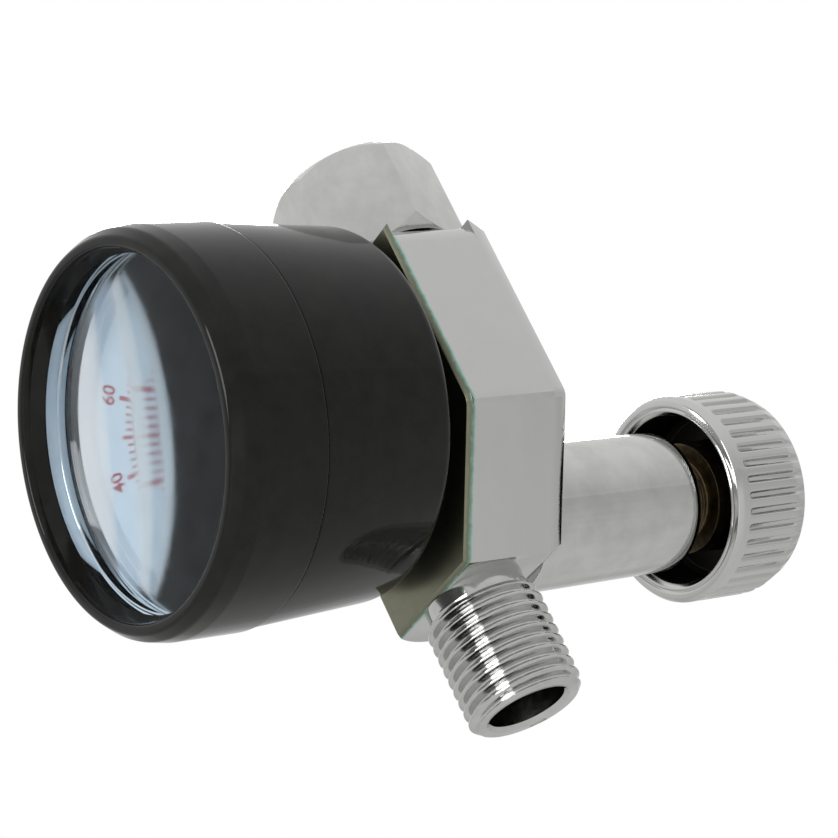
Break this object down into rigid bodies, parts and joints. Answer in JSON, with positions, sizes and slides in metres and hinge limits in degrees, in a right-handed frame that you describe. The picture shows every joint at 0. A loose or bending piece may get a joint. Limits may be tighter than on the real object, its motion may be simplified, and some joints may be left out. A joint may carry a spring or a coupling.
{
  "type": "air pressure regulator",
  "caption": "Inline air pressure regulator with a swivel nut outlet, male threaded inlet, side adjusting knob and a round dial gauge.",
  "frame": {"origin": "centre of the mouth of the swivel nut's threaded hole", "axes": "+Z out of the nut's hole towards the spray gun, -Y the side the dial faces, +X the body's flat side"},
  "size_m": [0.0437, 0.0822, 0.0629],
  "materials": {
    "chromed_zinc": "polished chrome plate on a zinc casting",
    "chromed_brass": "polished chrome plate on turned brass",
    "brass": "machined, bare",
    "spring_steel": "bright zinc plated",
    "seal_rubber": "matt nitrile rubber",
    "black_enamel": "glossy black enamel on pressed steel",
    "white_enamel": "satin white enamel on aluminium, printed scales",
    "white_plastic": "satin moulded",
    "pointer_paint": "satin black",
    "clear_lens": "clear polished acrylic"
  },
  "bodies": {
    "body_and_gauge": {"regulator_body": "chromed_zinc", "inlet_nipple": "chromed_brass", "outlet_spigot": "chromed_brass", "outlet_washer": "seal_rubber", "valve_seat": "brass", "seat_ring": "seal_rubber", "bonnet": "chromed_brass", "gauge_case": "black_enamel", "gauge_bezel": "black_enamel", "gauge_lens": "clear_lens", "lens_gasket": "white_plastic", "dial_ring": "white_plastic", "dial_plate": "white_enamel", "dial_screws": "spring_steel", "dial_spacers": "brass", "stop_pin": "spring_steel", "movement_front_plate": "brass", "movement_back_plate": "brass", "movement_posts": "brass", "hairspring": "brass", "gauge_socket": "brass", "socket_washer": "chromed_brass", "case_screws": "spring_steel", "bourdon_tube": "brass", "tube_end": "brass", "range_spring": "spring_steel", "poppet_spring": "spring_steel"},
    "nut": {"swivel_nut": "chromed_brass"},
    "button": {"spring_button": "spring_steel"},
    "knob": {"adjusting_screw": "brass", "adjusting_knob": "chromed_zinc", "knob_screw": "spring_steel"},
    "piston": {"piston": "brass", "piston_ring": "seal_rubber"},
    "poppet": {"poppet": "brass", "poppet_seal": "seal_rubber"},
    "sector": {"sector_gear": "brass"},
    "pointer": {"pointer": "pointer_paint", "pointer_hub": "spring_steel", "pointer_arbor": "spring_steel"},
    "link": {"link_rod": "brass"}
  },
  "joints": [
    {"name": "nut_swivel", "type": "hinge", "parent": "body_and_gauge", "child": "nut", "pos_m": [0, 0, -0.01], "axis": [0, 0, 1], "continuous": true},
    {"name": "knob_travel", "type": "slide", "parent": "body_and_gauge", "child": "button", "axis": [0, -1, 0], "range_m": [0, 0.003], "deforming": ["range_spring"]},
    {"name": "knob_turn", "type": "hinge", "parent": "button", "child": "knob", "pos_m": [-0.0092, 0.034, -0.04005], "axis": [0, -1, 0], "range_deg": [0, 1080]},
    {"name": "piston_slide", "type": "slide", "parent": "body_and_gauge", "child": "piston", "axis": [0, -1, 0], "range_m": [0, 0.0008]},
    {"name": "poppet_slide", "type": "slide", "parent": "body_and_gauge", "child": "poppet", "axis": [0, -1, 0], "range_m": [0, 0.0008], "deforming": ["poppet_spring"]},
    {"name": "sector_turn", "type": "hinge", "parent": "body_and_gauge", "child": "sector", "pos_m": [-0.0066, -0.0245, -0.03575], "axis": [0, -1, 0], "range_deg": [0, 30], "stiffness_Nm_per_rad": 0.0005, "springref_deg": -11.46},
    {"name": "pointer_turn", "type": "hinge", "parent": "body_and_gauge", "child": "pointer", "pos_m": [-0.0066, -0.028, -0.02575], "axis": [0, 1, 0], "range_deg": [0, 270]},
    {"name": "link_swing", "type": "hinge", "parent": "sector", "child": "link", "pos_m": [-0.00743, -0.0235, -0.03884], "axis": [0, -1, 0], "range_deg": [-30, 0]}
  ],
  "couplings": [
    {"joint": "knob_turn", "follows": "knob_travel", "rad_per_m": 6283.1},
    {"joint": "piston_slide", "follows": "knob_travel", "ratio": 0.26666},
    {"joint": "poppet_slide", "follows": "knob_travel", "ratio": 0.26666},
    {"joint": "pointer_turn", "follows": "sector_turn", "ratio": 9},
    {"joint": "link_swing", "follows": "sector_turn", "ratio": -1}
  ]
}
